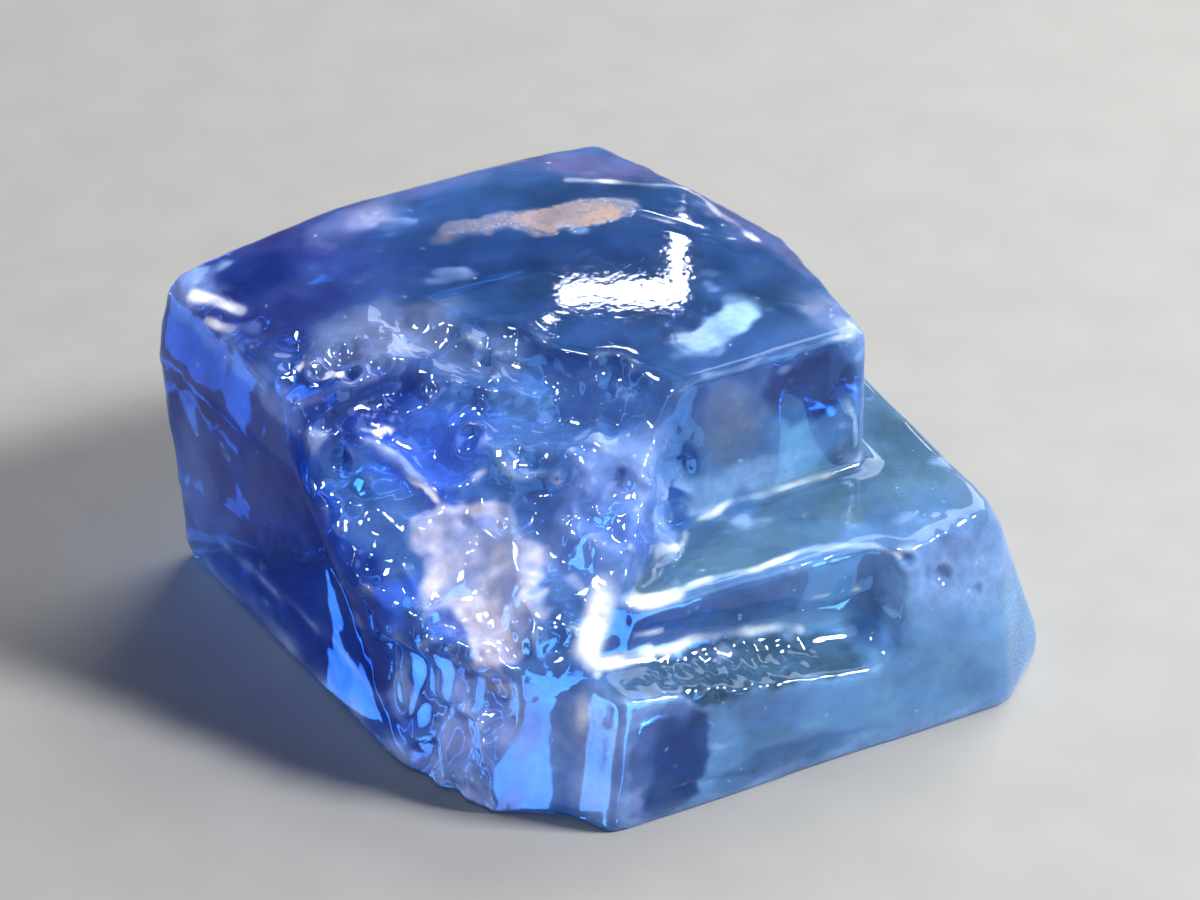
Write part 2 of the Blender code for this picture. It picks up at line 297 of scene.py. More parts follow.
# raised lines (height above 0) and grooves (below 0): points in mm, half width, height
lines = [
    ([(-18.9, 3.4, 19.4), (-17.0, 2.9, 20.0), (-15.3, 2.8, 20.4)], 0.45, 0.3),
    ([(-16.0, 0.8, 17.5), (-14.5, -0.6, 16.4), (-13.9, -2.1, 15.5), (-13.3, -3.5, 15.3), (-11.8, -4.3, 16.0),
      (-10.5, -4.4, 16.9), (-9.4, -6.1, 16.8), (-7.7, -7.7, 17.4), (-5.1, -7.8, 19.1)], 0.4, 0.5),
    ([(-7.6, -3.0, 20.4), (-6.6, -3.2, 20.6), (-5.6, -3.0, 21.2)], 0.3, 0.28),
    ([(-7.6, -3.9, 19.8), (-6.4, -4.1, 20.1), (-5.2, -3.9, 20.9)], 0.3, 0.3),
    ([(-7.4, -4.9, 19.2), (-6.2, -5.1, 19.6), (-4.9, -5.0, 20.5)], 0.3, 0.3),
    ([(-6.8, -5.9, 19.0), (-5.6, -6.1, 19.5), (-4.4, -6.2, 20.2)], 0.3, 0.25),
    ([(-15.2, -3.2, 14.1), (-12.6, -5.4, 15.3), (-10.2, -7.5, 15.7)], 0.35, 0.2),
    ([(-16.6, -5.2, 12.2), (-16.2, -8.0, 9.8), (-16.9, -10.6, 6.6)], 0.35, 0.25),
    ([(-7.4, -19.3, 1.9), (-4.8, -19.3, 1.9), (-1.4, -19.2, 1.2)], 0.25, -0.14),
    ([(5.4, -19.2, 1.6), (7.5, -19.2, 1.4)], 0.25, -0.1),
    ([(6.8, 8.9, 22.2), (8.9, 5.2, 22.2), (11.2, 3.8, 22.2)], 0.25, -0.08),
]
flutes = {                                  # upright ribs at the foot of the corner
    "along": (0.6, -0.8), "spacing": 2.1, "depth": 0.34, "middleLevel": 0.6,
    "from": 1.0, "to": 10.5, "fadeMm": 4.0, "leftOf": -8.0,
    "sway": 0.5, "swaysPerMm": 0.7,
}
pitLook = {"wall": 1.25, "rimAt": 1.1, "rimWidth": 0.22, "dropReach": 1.33}

lift = np.zeros(len(places))          # how far each point stands out, in mm
for middle, radius, depth, rim in pits:
    distance = np.linalg.norm(places - np.array(middle), axis=1) / radius
    lift -= depth * softStep(pitLook["wall"] * (1.0 - distance))
    lift += rim * np.exp(-((distance - pitLook["rimAt"]) / pitLook["rimWidth"]) ** 2)
for middle, radius, height in drops:
    distance = np.linalg.norm(places - np.array(middle), axis=1) / radius
    dome = np.sqrt(np.clip(1.0 - (distance * 0.75) ** 2, 0.0, 1.0))
    lift += height * dome * (distance < pitLook["dropReach"])
for points, halfWidth, height in lines:
    lift += height * np.exp(-(alongLine(points, places) / halfWidth) ** 2)
acrossFlutes = places[:, 0] * flutes["along"][0] + places[:, 1] * flutes["along"][1]
acrossFlutes += flutes["sway"] * np.sin(places[:, 2] * flutes["swaysPerMm"])
fluted = softStep(places[:, 2] / flutes["from"]) * softStep((flutes["to"] - places[:, 2]) / flutes["fadeMm"])
leftPart = places[:, 0] < flutes["leftOf"]
fluteWave = np.abs(np.sin(np.pi * acrossFlutes / flutes["spacing"]))
lift += flutes["depth"] * (fluteWave - flutes["middleLevel"]) * fluted * corner * leftPart

# broken edges are uneven, and some places are etched all over: middle, half sizes, depth in mm
chipLook = {"size": 1.1, "depth": 0.3, "reachPasses": 10, "bendFrom": 0.05, "bendTo": 0.2}
etchLook = {"size": 0.75, "core": 0.6}
etchedPlaces = [
    ((-2.0, -17.5, 7.9), (9.8, 2.2, 2.2), 0.22),
    ((13.0, -16.5, 10.5), (5.0, 4.0, 3.0), 0.1),
    ((2.0, -12.5, 12.9), (9.0, 3.4, 1.4), 0.05),
    ((-12.9, -8.6, 12.4), (4.6, 4.6, 4.4), 0.05),
    ((-6.0, -10.8, 15.6), (3.6, 3.0, 4.6), 0.14),
    ((-19.6, 13.0, 20.2), (2.0, 6.0, 1.2), 0.14),
    ((-12.2, 4.6, 21.2), (4.8, 2.8, 1.8), 0.14),
]
sharpness = ((places - neighbourMean(crystal, places, chipLook["reachPasses"])) * outward).sum(axis=1)
sharpness = between(np.abs(sharpness), chipLook["bendFrom"], chipLook["bendTo"])
chips = np.array([noise.noise(Vector(place) / chipLook["size"]) for place in places])
etching = np.array([noise.noise(Vector(place) / etchLook["size"]) for place in places])
lift += chipLook["depth"] * chips * sharpness
for middle, halfSizes, depth in etchedPlaces:
    lift += depth * etching * near(middle, halfSizes, etchLook["core"])

# small bubbles and dimples, strewn over the dissolved corner
bubbleLook = {
    "count": 60, "seed": 11, "radius": (0.22, 0.55), "height": 0.5, "wall": 1.3,
    "leastCorner": 0.6, "aboveMm": 2.0,
}
chance = np.random.default_rng(bubbleLook["seed"])
dissolved = corner * aboveBase * calm > bubbleLook["leastCorner"]
cornerPoints = np.flatnonzero(dissolved & (places[:, 2] > bubbleLook["aboveMm"]))
for index in chance.choice(cornerPoints, bubbleLook["count"], replace=False):
    radius = chance.uniform(*bubbleLook["radius"])
    side = chance.choice((-1.0, 1.0))
    distance = np.linalg.norm(places - places[index], axis=1) / radius
    lift += side * bubbleLook["height"] * radius * softStep(bubbleLook["wall"] * (1.0 - distance))

moved = pointsMm(crystal) + outward * (lift * aboveBase)[:, None]
proud = crystalLook["standProudMm"]
lowest = np.array(cadBox[0]) / mm
highest = np.array(cadBox[1]) / mm
moved = np.clip(moved, lowest - (proud, proud, 0.0), highest + (proud, proud, proud))
placePoints(crystal, moved)
applyModifier(crystal, "SMOOTH", factor=crystalLook["lastSmoothing"], iterations=1)
say("single marks sunk and raised")

# how sharply the surface bends: edges stand above their surroundings, hollows lie below
bendLook = {"reachPasses": 6, "steadyPasses": 3}
places = pointsMm(crystal)
bend = ((places - neighbourMean(crystal, places, bendLook["reachPasses"])) * outward).sum(axis=1)
bend = neighbourMean(crystal, bend[:, None], bendLook["steadyPasses"])[:, 0]

# where each paint lies, the salt's own finishes and the painted highlights, glow, shade and reflections:
# middle and half sizes in mm, turn in degrees, softness of the edge and share; they are mixed here and kept
# on the surface, and the material reads them
paintPlaces = {
    "violet": [
        ((-15, 16, 17), (9, 9, 8), (0, 0, 0), 0.5, 0.95),
        ((-15.5, 2.0, 19.0), (4.5, 5.0, 3.0), (0, 0, 0), 0.5, 0.75),
    ],
    "royal": [
        ((-21, 2, 8), (3.0, 17, 13), (0, 0, 3.6), 0.35, 1.0),
        ((-16, -6, 6), (4, 8, 6), (0, 0, 0), 0.4, 0.5),
        ((-15, 2, 18), (6, 5, 4), (0, 0, 0), 0.5, 0.35),
        ((-4, -16.4, 10.6), (7, 1.2, 2.0), (0, 8, 0), 0.3, 0.7),
    ],
    "navy": [((1, 5, 23), (12, 14, 2.2), (0, 0, 0), 0.35, 0.95)],
    "sky": [
        ((7, -18, 4), (17, 9, 8), (0, 0, 0), 0.4, 0.85),
        ((17, -6, 6), (8, 15, 8), (0, 0, 0), 0.4, 0.7),
        ((6.0, -9.2, 15.6), (7, 1.5, 3.0), (0, 0, 0), 0.4, 0.7),
    ],
    "pool": [
        ((-13.0, -1.4, 16.8), (3.4, 3.2, 2.2), (0, 0, 0), 0.4, 0.9),
        ((-6.0, -11.0, 16.0), (3.6, 2.8, 4.8), (0, 0, 0), 0.5, 0.6),
        ((-17.4, -6.0, 10.8), (1.0, 1.3, 1.8), (0, 0, 0), 0.2, 0.9),
        ((-18.0, -7.9, 1.9), (1.0, 1.1, 1.9), (0, 0, 0), 0.2, 0.8),
    ],
    # painted reflection: the ledge tops are grey-green where they mirror dark surroundings
    "green": [
        ((1.6, -12.5, 12.9), (9.6, 2.9, 0.9), (0, 0, 5), 0.2, 0.9),
        ((11.0, -8.6, 13.0), (6.0, 6.0, 1.2), (0, 0, 0), 0.5, 0.7),
        ((16.0, -6.0, 12.8), (3.0, 9.0, 1.2), (0, 0, 0), 0.5, 0.7),
    ],
    # painted reflection: the dark grey-green lower ledge stands for the dark surroundings it mirrors
    "lens": [((-1.6, -17.5, 7.7), (8.6, 1.7, 1.5), (0, 10, 0), 0.12, 0.95)],
    # painted shade: dark patches where the salt only looks dark, as in the front window and on the top
    "deep": [
        ((8.2, -9.2, 19.4), (2.9, 1.2, 2.3), (0, 0, 0), 0.15, 0.8),
        ((-7.1, -19.3, 4.1), (2.7, 1.4, 3.6), (0, 0, 0), 0.08, 0.95),
        ((1.0, -19.3, 1.6), (4.6, 1.0, 0.9), (0, 0, 0), 0.3, 0.5),
        ((-1.0, 7.6, 22.2), (9.0, 2.2, 1.0), (0, 0, -15), 0.4, 0.5),
        ((-15.8, 4.6, 20.8), (1.8, 1.4, 1.0), (0, 0, 0), 0.3, 0.8),
        ((-16.6, 14.8, 21.4), (2.4, 2.4, 1.4), (0, 0, 0), 0.4, 0.6),
    ],
    "haze": [
        ((-20.9, 15.6, 9.0), (1.4, 2.0, 5.0), (15, 0, 0), 0.5, 0.45),
        ((-19.6, 17.4, 20.0), (1.8, 2.4, 1.2), (0, 0, 0), 0.4, 0.7),
        ((-20.4, 9, 19.2), (1.0, 10, 0.8), (0, 0, 3.6), 0.5, 0.6),
        ((12.8, -17.4, 10.0), (4.0, 2.0, 3.0), (0, 0, 0), 0.5, 0.6),
        ((17.5, -15.0, 10.5), (2.2, 3.6, 3.0), (0, 0, 0), 0.5, 0.6),
        ((-7.6, -19.2, 7.8), (3.0, 1.2, 0.9), (0, 8, 0), 0.3, 0.7),
        ((-18.3, -7.2, 6.4), (1.0, 1.2, 3.0), (0, 0, 0), 0.2, 0.9),
        ((-10.8, -17.8, 4.8), (1.1, 1.8, 4.8), (0, 0, 0), 0.25, 0.95),
    ],
    "mauve": [
        ((12.4, 5.0, 21.6), (1.5, 8, 1.4), (0, 0, 8), 0.4, 0.8),
        ((7.5, 15.6, 21.4), (5.0, 2.0, 1.6), (0, 0, -38), 0.4, 0.85),
        ((-2.0, 18.6, 21.6), (8.0, 1.4, 1.4), (0, 0, 0), 0.5, 0.6),
    ],
    "nose": [
        ((-4.6, -10.2, 16.6), (3.2, 2.4, 4.4), (0, 0, 0), 0.4, 0.85),
        ((-8.4, -11.2, 14.8), (2.4, 2.6, 2.4), (0, 0, 0), 0.4, 0.7),
    ],
    "flute": [
        ((-9.4, -18.0, 4.6), (1.5, 2.0, 4.0), (0, 0, 0), 0.3, 0.7),
        ((-14.6, -12.8, 4.6), (4.6, 2.4, 5.0), (0, 0, -53), 0.25, 0.9),
        ((-11.0, -16.4, 4.6), (1.6, 2.0, 4.6), (0, 0, 0), 0.3, 0.6),
    ],
    "dome": [
        ((-12.4, 5.2, 21.4), (4.6, 2.4, 1.7), (0, 0, -15), 0.35, 0.9),
        ((-8.6, 1.4, 21.0), (2.6, 1.8, 1.2), (0, 0, -30), 0.4, 0.6),
    ],
    # painted light: lighter, less clear blue where light seems to shine out of the salt
    "glow": [
        ((4.7, -4.6, 22.3), (3.6, 1.3, 0.9), (0, 0, 30), 0.25, 0.9),
        ((2.4, -9.2, 14.4), (5.0, 1.2, 1.2), (0, 0, 0), 0.4, 0.6),
    ],
    "dust": [((2.8, -9.2, 18.4), (1.8, 1.0, 2.6), (0, 0, 0), 0.4, 0.6)],
    "frost": [
        ((-13.2, -6.0, 14.3), (3.4, 1.9, 2.0), (0, 0, -41), 0.12, 0.9),
        ((-13.5, -8.6, 12.4), (3.7, 2.8, 3.0), (0, 0, -41), 0.12, 1.0),
        ((-13.2, -11.4, 10.4), (2.5, 2.2, 3.0), (0, 0, -41), 0.12, 0.95),
        ((-8.6, 16.4, 22.0), (3.2, 1.2, 1.2), (0, 0, 20), 0.6, 0.45),
        ((11.0, -6.6, 22.2), (1.4, 2.2, 0.7), (0, 0, 0), 0.5, 0.5),
    ],
    "blueEye": [
        ((-16.0, -9.2, 10.6), (1.0, 1.0, 1.0), (0, 0, 0), 0.2, 0.85),
        ((-11.6, -11.0, 11.4), (0.7, 0.7, 0.9), (0, 0, 0), 0.4, 0.6),
        ((-12.6, -6.2, 14.6), (0.8, 0.6, 0.6), (0, 0, 0), 0.4, 0.5),
    ],
    # painted highlights: white glints on the corner's ridges and pits
    "paintedHighlight": [
        ((-16.6, 4.0, 20.3), (0.5, 0.5, 0.5), (0, 0, 0), 0.3, 0.7),
        ((-17.6, 5.6, 20.6), (0.5, 0.4, 0.5), (0, 0, 0), 0.3, 0.7),
        ((-15.2, 1.1, 17.9), (1.0, 0.35, 0.4), (0, 0, -20), 0.3, 0.9),
    ],
    "stain": [
        ((2.8, 11.0, 22.3), (3.8, 1.4, 0.9), (0, 0, -12), 0.2, 0.85),
        ((-2.2, 12.3, 22.3), (3.4, 0.8, 0.8), (0, 0, -6), 0.3, 0.6),
    ],
}
# lines drawn on the surface, with points in mm, half width and share
paintLines = {
    # painted light: pale strips along the left foot stand for light bent through the rounded bottom edge
    "band": [
        ([(-20.4, 16.0, 0.6), (-18.9, 1.1, 0.7), (-18.2, -7.2, 0.7), (-14.6, -12.6, 0.6)], 1.5, 1.0),
        ([(-19.9, 13.0, 4.0), (-19.8, 11.0, 4.3), (-19.6, 5.2, 4.8), (-19.2, -0.4, 5.2), (-18.8, -5.7, 4.0)],
         0.5, 0.7),
    ],
    "haze": [
        # painted light: this pale strip along the front foot stands for light bent through the rounded bottom
        # edge
        ([(-8.0, -19.3, 0.3), (4.0, -19.3, 0.4), (18.0, -19.2, 0.5)], 0.9, 0.9),
        ([(-10.2, -17.2, 9.5), (-7.1, -16.3, 9.5), (-1.7, -16.1, 8.9), (3.7, -16.4, 7.7)], 0.4, 0.6),
    ],
    # painted highlights: white glints along ridges, ribs, edges and ledge lines, and the blown white spot
    # below the nose
    "paintedHighlight": [
        ([(-10.2, -15.8, 10.8), (-9.0, -14.9, 12.4), (-8.0, -14.0, 13.2), (-6.6, -12.9, 13.8)], 1.25, 1.0),
        ([(-8.6, -14.4, 12.9), (-6.5, -15.0, 12.7), (-4.4, -15.2, 12.7)], 0.8, 1.0),
        ([(-10.6, -15.9, 10.2), (-9.0, -16.4, 10.0), (-6.4, -16.2, 9.8)], 0.6, 0.95),
        ([(-8.8, -14.9, 11.8), (-7.2, -15.6, 11.2), (-5.4, -15.8, 11.0)], 0.35, 0.8),
        ([(-6.8, -13.0, 13.6), (-4.6, -12.2, 13.4), (-2.2, -11.6, 13.0)], 0.55, 0.85),
        ([(-9.4, -13.6, 13.2), (-9.9, -11.8, 13.9)], 0.5, 0.8),
        ([(-11.0, -16.4, 9.2), (-11.4, -16.9, 6.6)], 0.5, 0.7),
        ([(-19.7, 16.6, 20.1), (-18.9, 14.9, 20.4), (-18.2, 12.9, 20.5)], 0.55, 1.0),
        ([(-19.9, 14.0, 19.8), (-19.4, 11.8, 19.9)], 0.35, 0.95),
        ([(4.8, 14.8, 22.2), (6.7, 13.8, 22.2), (8.6, 12.2, 22.2), (10.8, 10.5, 22.1)], 0.35, 0.9),
        ([(10.8, 10.5, 22.1), (11.1, 9.0, 22.2), (11.0, 6.6, 22.2), (11.4, 4.1, 22.2), (11.7, 1.6, 22.2)],
         0.22, 0.7),
        ([(6.8, 8.9, 22.2), (9.4, 6.1, 22.2), (10.6, 3.6, 22.2)], 0.15, 0.5),
        ([(-18.9, 3.4, 19.4), (-17.0, 2.9, 20.0), (-15.3, 2.8, 20.4)], 0.38, 0.95),
        ([(-16.0, 0.8, 17.5), (-14.5, -0.6, 16.4), (-13.9, -2.1, 15.5), (-13.3, -3.5, 15.3),
          (-11.8, -4.3, 16.0), (-10.5, -4.4, 16.9), (-9.4, -6.1, 16.8), (-7.7, -7.7, 17.4),
          (-6.2, -7.8, 18.4)], 0.34, 1.0),
        ([(-7.2, -3.1, 20.4), (-6.6, -3.2, 20.6), (-5.6, -3.0, 21.2)], 0.3, 0.9),
        ([(-7.4, -4.0, 19.8), (-6.4, -4.1, 20.1), (-5.2, -3.9, 20.9)], 0.34, 1.0),
        ([(-7.2, -4.9, 19.2), (-6.2, -5.1, 19.6), (-4.9, -5.0, 20.5)], 0.34, 0.95),
        ([(-7.5, -14.8, 12.8), (-4.0, -15.2, 12.8), (1.3, -15.3, 12.7), (6.0, -15.4, 12.7)], 0.4, 0.9),
        ([(6.0, -15.4, 12.7), (8.2, -16.3, 12.5), (9.7, -17.6, 11.9)], 0.25, 0.8),
        ([(-1.8, -11.4, 12.9), (-0.4, -10.0, 13.1), (2.2, -9.3, 13.1), (6.3, -9.2, 13.1), (11.7, -9.2, 13.1)],
         0.28, 0.75),
        ([(-10.2, -16.6, 9.9), (-7.1, -16.0, 9.8), (-1.7, -15.8, 9.2), (3.7, -16.0, 8.0)], 0.4, 0.8),
        ([(4.3, -16.0, 9.9), (7.7, -16.2, 9.4)], 0.22, 0.9),
        ([(1.0, -8.9, 22.0), (5.2, -8.8, 22.2), (11.6, -8.8, 22.1)], 0.25, 0.6),
        ([(10.3, -9.1, 17.8), (11.4, -9.1, 16.1), (11.4, -9.1, 14.0)], 0.25, 0.6),
    ],
}
# each paint: its colour, then how clear and how rough the salt is there; later ones lie over earlier; some
# are the salt's own finishes, some painted light or shade
plainSalt = ((0.2, 0.46, 1.0), 0.82, 0.02)
paints = {
    "violet": ((0.05, 0.035, 0.3), 0.86, 0.02),
    "royal": ((0.01, 0.07, 0.5), 0.86, 0.02),
    "navy": ((0.04, 0.14, 0.32), 0.86, 0.015),
    "sky": ((0.3, 0.66, 1.0), 0.74, 0.03),
    "pool": ((0.07, 0.2, 1.0), 0.6, 0.03),
    # painted reflection of dark surroundings
    "green": ((0.22, 0.41, 0.42), 0.82, 0.03),
    # painted shade
    "deep": ((0.01, 0.06, 0.26), 0.85, 0.02),
    "haze": ((0.3, 0.44, 0.86), 0.5, 0.14),
    # painted light along the foot
    "band": ((0.42, 0.6, 1.0), 0.3, 0.1),
    # painted reflection of dark surroundings
    "lens": ((0.06, 0.13, 0.17), 0.72, 0.05),
    "mauve": ((0.16, 0.15, 0.36), 0.6, 0.1),
    "nose": ((0.3, 0.48, 1.0), 0.5, 0.05),
    "flute": ((0.34, 0.46, 0.94), 0.32, 0.05),
    "dome": ((0.26, 0.34, 0.55), 0.66, 0.03),
    # painted light
    "glow": ((0.36, 0.62, 1.0), 0.4, 0.08),
    "dust": ((0.3, 0.32, 0.36), 0.5, 0.2),
    "frost": ((0.74, 0.74, 0.94), 0.4, 0.08),
    "blueEye": ((0.1, 0.25, 0.95), 0.6, 0.05),
    # painted highlight: near white and barely clear
    "paintedHighlight": ((0.97, 0.99, 1.0), 0.08, 0.08),
    "stain": ((0.38, 0.25, 0.17), 0.25, 0.4),
    "flecks": ((0.8, 0.88, 1.0), 0.3, 0.2),
    "veils": ((0.34, 0.55, 0.95), 0.45, 0.08),
    # partly wear, partly painted highlight on the edges
    "wornAndHighlit": ((0.7, 0.82, 1.0), 0.45, 0.12),
}
paintLook = {
    "wanderMm": 0.9, "wanderSize": 2.4,           # how far and how finely the patches' edges wander
    "fineWanderMm": 0.35, "fineWanderSize": 0.8,
    "wanderSeed": 1,
    "squareness": 2.8,                            # 2 makes the patches round, more makes them squarer
    "lineWidth": 0.8, "lineWander": 0.5, "softLines": 2, "sharpLines": 4,
    "patchyLeast": 0.3, "patchyContrast": 1.2,    # lines, veils and worn, highlit edges come and go
    "mottle": 0.8, "mottleContrast": 1.3,         # least share of a paint inside its patches
    "mottled": {"frost": 0.5, "nose": 0.5, "flute": 0.5, "paintedHighlight": 0.95},
    "veilStretch": (0.7, 1.0, 1.3), "veilSize": 3.2, "veilOctaves": 3,
    "veilFrom": 0.75, "veilTo": 1.0, "veilShare": 0.7,
    "flecks": 260, "fleckSeed": 5, "fleckRadius": (0.09, 0.18), "fleckShare": (0.15, 0.6), "fleckWall": 1.6,
    "fleckAboveMm": 0.5, "fleckLeastPatchy": 0.6,
    "wornAndHighlitFrom": 0.03, "wornAndHighlitTo": 0.12, "wornAndHighlitShare": 0.55,
}


def wander(sizeMm, reachMm):
    return reachMm * np.array([noise.noise_vector(Vector(place) / sizeMm) for place in places])


def paintMask(paint):
    mask = np.zeros(len(places))
    for middle, halfSizes, turn, edge, share in paintPlaces.get(paint, []):
        axes = np.array(Euler([math.radians(angle) for angle in turn]).to_matrix())
        away = np.abs((ragged - np.array(middle)) @ axes / np.array(halfSizes))
        distance = (away ** paintLook["squareness"]).sum(axis=1) ** (1 / paintLook["squareness"])
        mask = np.maximum(mask, share * softStep((1.0 + edge - distance) / (2.0 * edge)))
    for points, halfWidth, share in paintLines.get(paint, []):
        sharp = paintLook["sharpLines" if paint == "paintedHighlight" else "softLines"]
        line = np.exp(-(alongLine(points, lineSpots) / (paintLook["lineWidth"] * halfWidth)) ** sharp)
        mask = np.maximum(mask, share * line * patchy)
    low = paintLook["mottled"].get(paint, paintLook["mottle"])
    return mask * (low + (1.0 - low) * mottled)


noise.seed_set(paintLook["wanderSeed"])
fineWander = wander(paintLook["fineWanderSize"], paintLook["fineWanderMm"])
wideWander = wander(paintLook["wanderSize"], paintLook["wanderMm"])
ragged = places + wideWander + fineWander
lineSpots = places + paintLook["lineWander"] * wideWander
patchy = softStep(0.5 + paintLook["patchyContrast"] * wideWander[:, 0] / paintLook["wanderMm"])
patchy = paintLook["patchyLeast"] + (1.0 - paintLook["patchyLeast"]) * patchy
mottled = wideWander[:, 1] + fineWander[:, 1]
mottled = softStep(0.5 + paintLook["mottleContrast"] * mottled / paintLook["wanderMm"])
masks = {paint: paintMask(paint) for paint in paints}

# veils: the fine cloudy sheets inside the salt, seen where they reach the surface
veilSpots = places * np.array(paintLook["veilStretch"]) / paintLook["veilSize"]
veils = np.array([noise.turbulence(Vector(spot), paintLook["veilOctaves"], True) for spot in veilSpots])
masks["veils"] = paintLook["veilShare"] * between(veils, paintLook["veilFrom"], paintLook["veilTo"]) * patchy

# flecks: small pale specks
chance = np.random.default_rng(paintLook["fleckSeed"])
flecked = (places[:, 2] > paintLook["fleckAboveMm"]) & (patchy > paintLook["fleckLeastPatchy"])
fleckPoints = np.flatnonzero(flecked)
for index in chance.choice(fleckPoints, paintLook["flecks"], replace=False):
    distance = np.linalg.norm(places - places[index], axis=1) / chance.uniform(*paintLook["fleckRadius"])
    fleck = chance.uniform(*paintLook["fleckShare"]) * softStep(paintLook["fleckWall"] * (1.0 - distance))
    masks["flecks"] = np.maximum(masks["flecks"], fleck)

# edges are pale: partly wear, partly a painted highlight where the edges catch the light
bending = between(bend, paintLook["wornAndHighlitFrom"], paintLook["wornAndHighlitTo"])
masks["wornAndHighlit"] = bending * patchy * paintLook["wornAndHighlitShare"] * aboveBase

colour, clear, rough = plainSalt
painted = np.tile((*colour, clear, rough), (len(places), 1))
for paint, (colour, clear, rough) in paints.items():
    painted += masks[paint][:, None] * (np.array((*colour, clear, rough)) - painted)
# the colour kept on the surface holds the salt's colours and the painted highlights, glow, shade and
# reflections
shades = crystal.data.attributes.new("saltColourAndPaintedLight", "FLOAT_COLOR", "POINT")
rgba = np.column_stack((painted[:, :3], np.ones(len(places)))).astype(np.float32)
shades.data.foreach_set("color", rgba.ravel())
keepAttribute(crystal, "clearness", painted[:, 3])
keepAttribute(crystal, "roughness", painted[:, 4])
say("finishes placed")

# fewer triangles, first on the base, then on the plain back and right side
backFacing, rightFacing, baseMm = 0.9, 0.95, 0.02
hidden = (normalsOf(crystal)[:, 1] > backFacing) | (normalsOf(crystal)[:, 0] > rightFacing)
coarser = hidden * crystalLook["coarser"]["hidden"]
coarser[places[:, 2] < baseMm] = crystalLook["coarser"]["base"]
triangleShare = crystalLook["triangles"] / (2 * len(crystal.data.polygons))
applyModifier(
    crystal, "DECIMATE", ratio=min(1.0, triangleShare), use_collapse_triangulate=True,
    vertex_group=markGroup(crystal, "coarser", coarser), vertex_group_factor=crystalLook["coarserFactor"],
)
crystal.vertex_groups.clear()
selectOnly(crystal)
bpy.ops.object.shade_smooth()
say(f"crystal of {len(crystal.data.polygons)} triangles")


def addNode(tree, kind, inputs=None, **settings):
    node = tree.nodes.new(kind)
    for setting, value in settings.items():
        setattr(node, setting, value)
    for key, value in (inputs or {}).items():
        if isinstance(value, bpy.types.NodeSocket):
            tree.links.new(value, node.inputs[key])
        else:
            node.inputs[key].default_value = value
    return node


def multiply(tree, first, second):
    return addNode(tree, "ShaderNodeMath", {0: first, 1: second}, operation="MULTIPLY").outputs[0]


def shadeOf(tree, colour, shade):
    inputs = {0: colour, "Scale": shade}
    return addNode(tree, "ShaderNodeVectorMath", inputs, operation="SCALE").outputs[0]


noiseSpan = (0.3, 0.7)                              # a noise node gives little outside these values


def noiseTo(tree, fac, low, high):                  # spreads a noise from low to high
    inputs = {"Value": fac, "From Min": noiseSpan[0], "From Max": noiseSpan[1], "To Min": low, "To Max": high}
    return addNode(tree, "ShaderNodeMapRange", inputs, interpolation_type="SMOOTHSTEP").outputs[0]


def noiseNode(tree, place, scale, detail):
    inputs = {"Vector": place, "Scale": scale, "Detail": detail}
    return addNode(tree, "ShaderNodeTexNoise", inputs).outputs["Fac"]


# the salt: clear and blue all through, with bands of colour, frosted and stained places, and painted
# highlights, glow, shade and reflections on it
salt = {
    "ior": 1.544,
    "sheen": (0.55, 0.7, 1.0, 1.0),      # tint of what it mirrors
    "bodyColour": (0.03, 0.5, 0.9, 1.0),
    "bodyDensity": 36.0,
    "cloudsPerMm": 0.28, "cloudDetail": 1.0,     # slow change from lighter to darker salt
    "cloudRange": (0.8, 1.2),
    "grainPerMm": 1.8, "grainDetail": 3.0,       # fine mottling
    "grainRange": (0.9, 1.08),
    "roughRange": (0.7, 1.5),
    "etchDepthMm": 0.0015,
}


def saltMaterial():
    material = bpy.data.materials.new("blueHalite")
    material.use_nodes = True
    tree = material.node_tree
    shader = tree.nodes["Principled BSDF"]
    shader.inputs["IOR"].default_value = salt["ior"]
    shader.inputs["Specular Tint"].default_value = salt["sheen"]

    spot = addNode(tree, "ShaderNodeTexCoord").outputs["Object"]
    place = addNode(tree, "ShaderNodeMapping", {"Vector": spot, "Scale": (1 / mm, 1 / mm, 1 / mm)}).outputs[0]
    clouds = noiseNode(tree, place, salt["cloudsPerMm"], salt["cloudDetail"])
    grain = noiseNode(tree, place, salt["grainPerMm"], salt["grainDetail"])
    # colour with painted highlights, glow, shade and reflections in it
    painted = addNode(tree, "ShaderNodeAttribute", attribute_name="saltColourAndPaintedLight").outputs["Color"]
    clear = addNode(tree, "ShaderNodeAttribute", attribute_name="clearness").outputs["Fac"]
    rough = addNode(tree, "ShaderNodeAttribute", attribute_name="roughness").outputs["Fac"]

    shade = multiply(
        tree, noiseTo(tree, clouds, *salt["cloudRange"]), noiseTo(tree, grain, *salt["grainRange"]),
    )
    gloss = multiply(tree, rough, noiseTo(tree, grain, *salt["roughRange"]))
    bumpInputs = {"Height": grain, "Distance": salt["etchDepthMm"] * mm, "Strength": 1.0}
    etched = addNode(tree, "ShaderNodeBump", bumpInputs)
    tree.links.new(shadeOf(tree, painted, shade), shader.inputs["Base Color"])
    tree.links.new(clear, shader.inputs["Transmission Weight"])
    tree.links.new(gloss, shader.inputs["Roughness"])
    tree.links.new(etched.outputs["Normal"], shader.inputs["Normal"])
    bodyInputs = {"Color": salt["bodyColour"], "Density": salt["bodyDensity"]}
    body = addNode(tree, "ShaderNodeVolumeAbsorption", bodyInputs)
    tree.links.new(body.outputs["Volume"], tree.nodes["Material Output"].inputs["Volume"])
    return material


crystal.data.materials.append(saltMaterial())
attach(crystal, "root")
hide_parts("halite_crystal")
say("salt coloured")

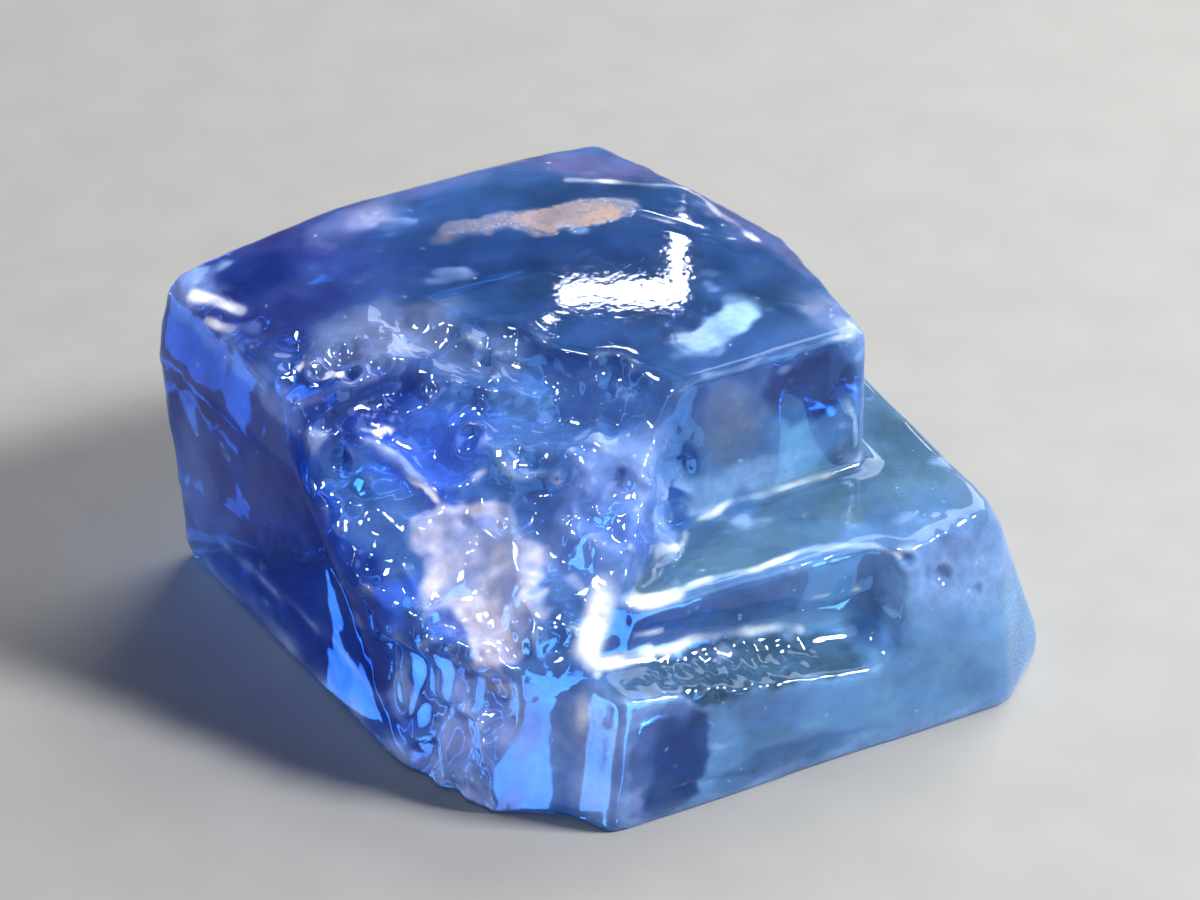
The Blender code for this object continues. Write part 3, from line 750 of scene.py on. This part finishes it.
# the pale floor, a hair below the base
floorLook = {
    "size": 1.6, "colour": (0.38, 0.38, 0.374), "roughness": 0.6, "gapMm": 0.05,
    "mottleMm": 6.0, "mottleDetail": 4.0, "mottleRange": (0.97, 1.03),
}
bpy.ops.object.select_all(action="DESELECT")
bpy.ops.mesh.primitive_plane_add(size=floorLook["size"], location=(0, 0, -floorLook["gapMm"] * mm))
floor = bpy.context.object
floor.name = "paleFloor"
floorMaterial = bpy.data.materials.new("paleFloor")
floorMaterial.use_nodes = True
floorTree = floorMaterial.node_tree
floorShader = floorTree.nodes["Principled BSDF"]
floorShader.inputs["Roughness"].default_value = floorLook["roughness"]
floorPlace = addNode(floorTree, "ShaderNodeTexCoord").outputs["Object"]
floorMottle = noiseNode(floorTree, floorPlace, 1.0 / (floorLook["mottleMm"] * mm), floorLook["mottleDetail"])
floorShade = noiseTo(floorTree, floorMottle, *floorLook["mottleRange"])
floorTree.links.new(shadeOf(floorTree, floorLook["colour"], floorShade), floorShader.inputs["Base Color"])
floor.data.materials.append(floorMaterial)

# soft studio light: place in metres, size, watts, colour; each lamp looks at the crystal. The three
# window lamps shine in the flat top, and the cards make the glints on the dissolved corner
white, warm, cool = (1.0, 1.0, 1.0), (1.0, 0.99, 0.97), (0.95, 0.98, 1.0)
lamps = {
    "backKey": ((0.45, 0.20, 0.38), (0.5, 0.5), 3.2, warm),
    "frontKey": ((0.36, -0.30, 0.40), (0.12, 0.12), 5.6, warm),
    "windowBar": ((0.2159, 0.39, 0.2910), (0.0205, 0.0013), 0.006, white),
    "windowFoot": ((0.2205, 0.39, 0.2925), (0.0110, 0.0018), 0.005, white),
    "windowPost": ((0.2262, 0.39, 0.2870), (0.0016, 0.0115), 0.005, white),
    "slopeCard": ((-0.28, 0.055, 0.42), (0.12, 0.08), 2.2, white),
    "warmCard": ((-0.38, -0.05, 0.32), (0.02, 0.02), 0.3, (1.0, 0.45, 0.25)),
    "fill": ((0.15, -0.45, 0.40), (0.4, 0.4), 1.0, cool),
}
lampsAimAt = Vector((0, 0, 0.01))
crystalOnly = ("slopeCard", "warmCard", "fill")     # these leave the floor alone
litByCards = bpy.data.collections.new("litByCards")
litByCards.objects.link(crystal)
for name, (at, size, watts, colour) in lamps.items():
    light = bpy.data.lights.new(name, "AREA")
    light.shape = "RECTANGLE"
    light.size, light.size_y = size
    light.energy = watts
    light.color = colour
    holder = bpy.data.objects.new(name, light)
    bpy.context.scene.collection.objects.link(holder)
    if name in crystalOnly:
        holder.light_linking.receiver_collection = litByCards
    holder.location = at
    holder.rotation_euler = (lampsAimAt - holder.location).to_track_quat("-Z", "Y").to_euler()

studioLook = {"colour": (0.85, 0.9, 1.0, 1.0), "strength": 0.17}
world = bpy.data.worlds.new("studio")
bpy.context.scene.world = world
world.use_nodes = True
background = world.node_tree.nodes["Background"]
background.inputs["Color"].default_value = studioLook["colour"]
background.inputs["Strength"].default_value = studioLook["strength"]

# the camera, at the photograph's angle
camera = {
    "azimuth": -28.6, "elevation": 33.0, "distanceMm": 322.6, "aimMm": (8.4, 17.1, 0.0),
    "lens": 150.0, "sensorWidth": 36.0, "clipStart": 0.01,
}
azimuth = math.radians(camera["azimuth"])
elevation = math.radians(camera["elevation"])
backward = Vector((
    math.sin(azimuth) * math.cos(elevation),
    -math.cos(azimuth) * math.cos(elevation),
    math.sin(elevation),
))
eye = bpy.data.objects.new("camera", bpy.data.cameras.new("camera"))
bpy.context.scene.collection.objects.link(eye)
eye.data.lens = camera["lens"]
eye.data.sensor_width = camera["sensorWidth"]
eye.data.clip_start = camera["clipStart"]
eye.location = Vector(camera["aimMm"]) * mm + backward * camera["distanceMm"] * mm
eye.rotation_euler = (-backward).to_track_quat("-Z", "Y").to_euler()
bpy.context.scene.camera = eye

bpy.context.scene.view_settings.view_transform = "Standard"
cycles = bpy.context.scene.cycles
cycles.diffuse_bounces = 2
cycles.glossy_bounces = 3
cycles.transmission_bounces = 12
cycles.max_bounces = 12
say("floor, lamps and camera placed")
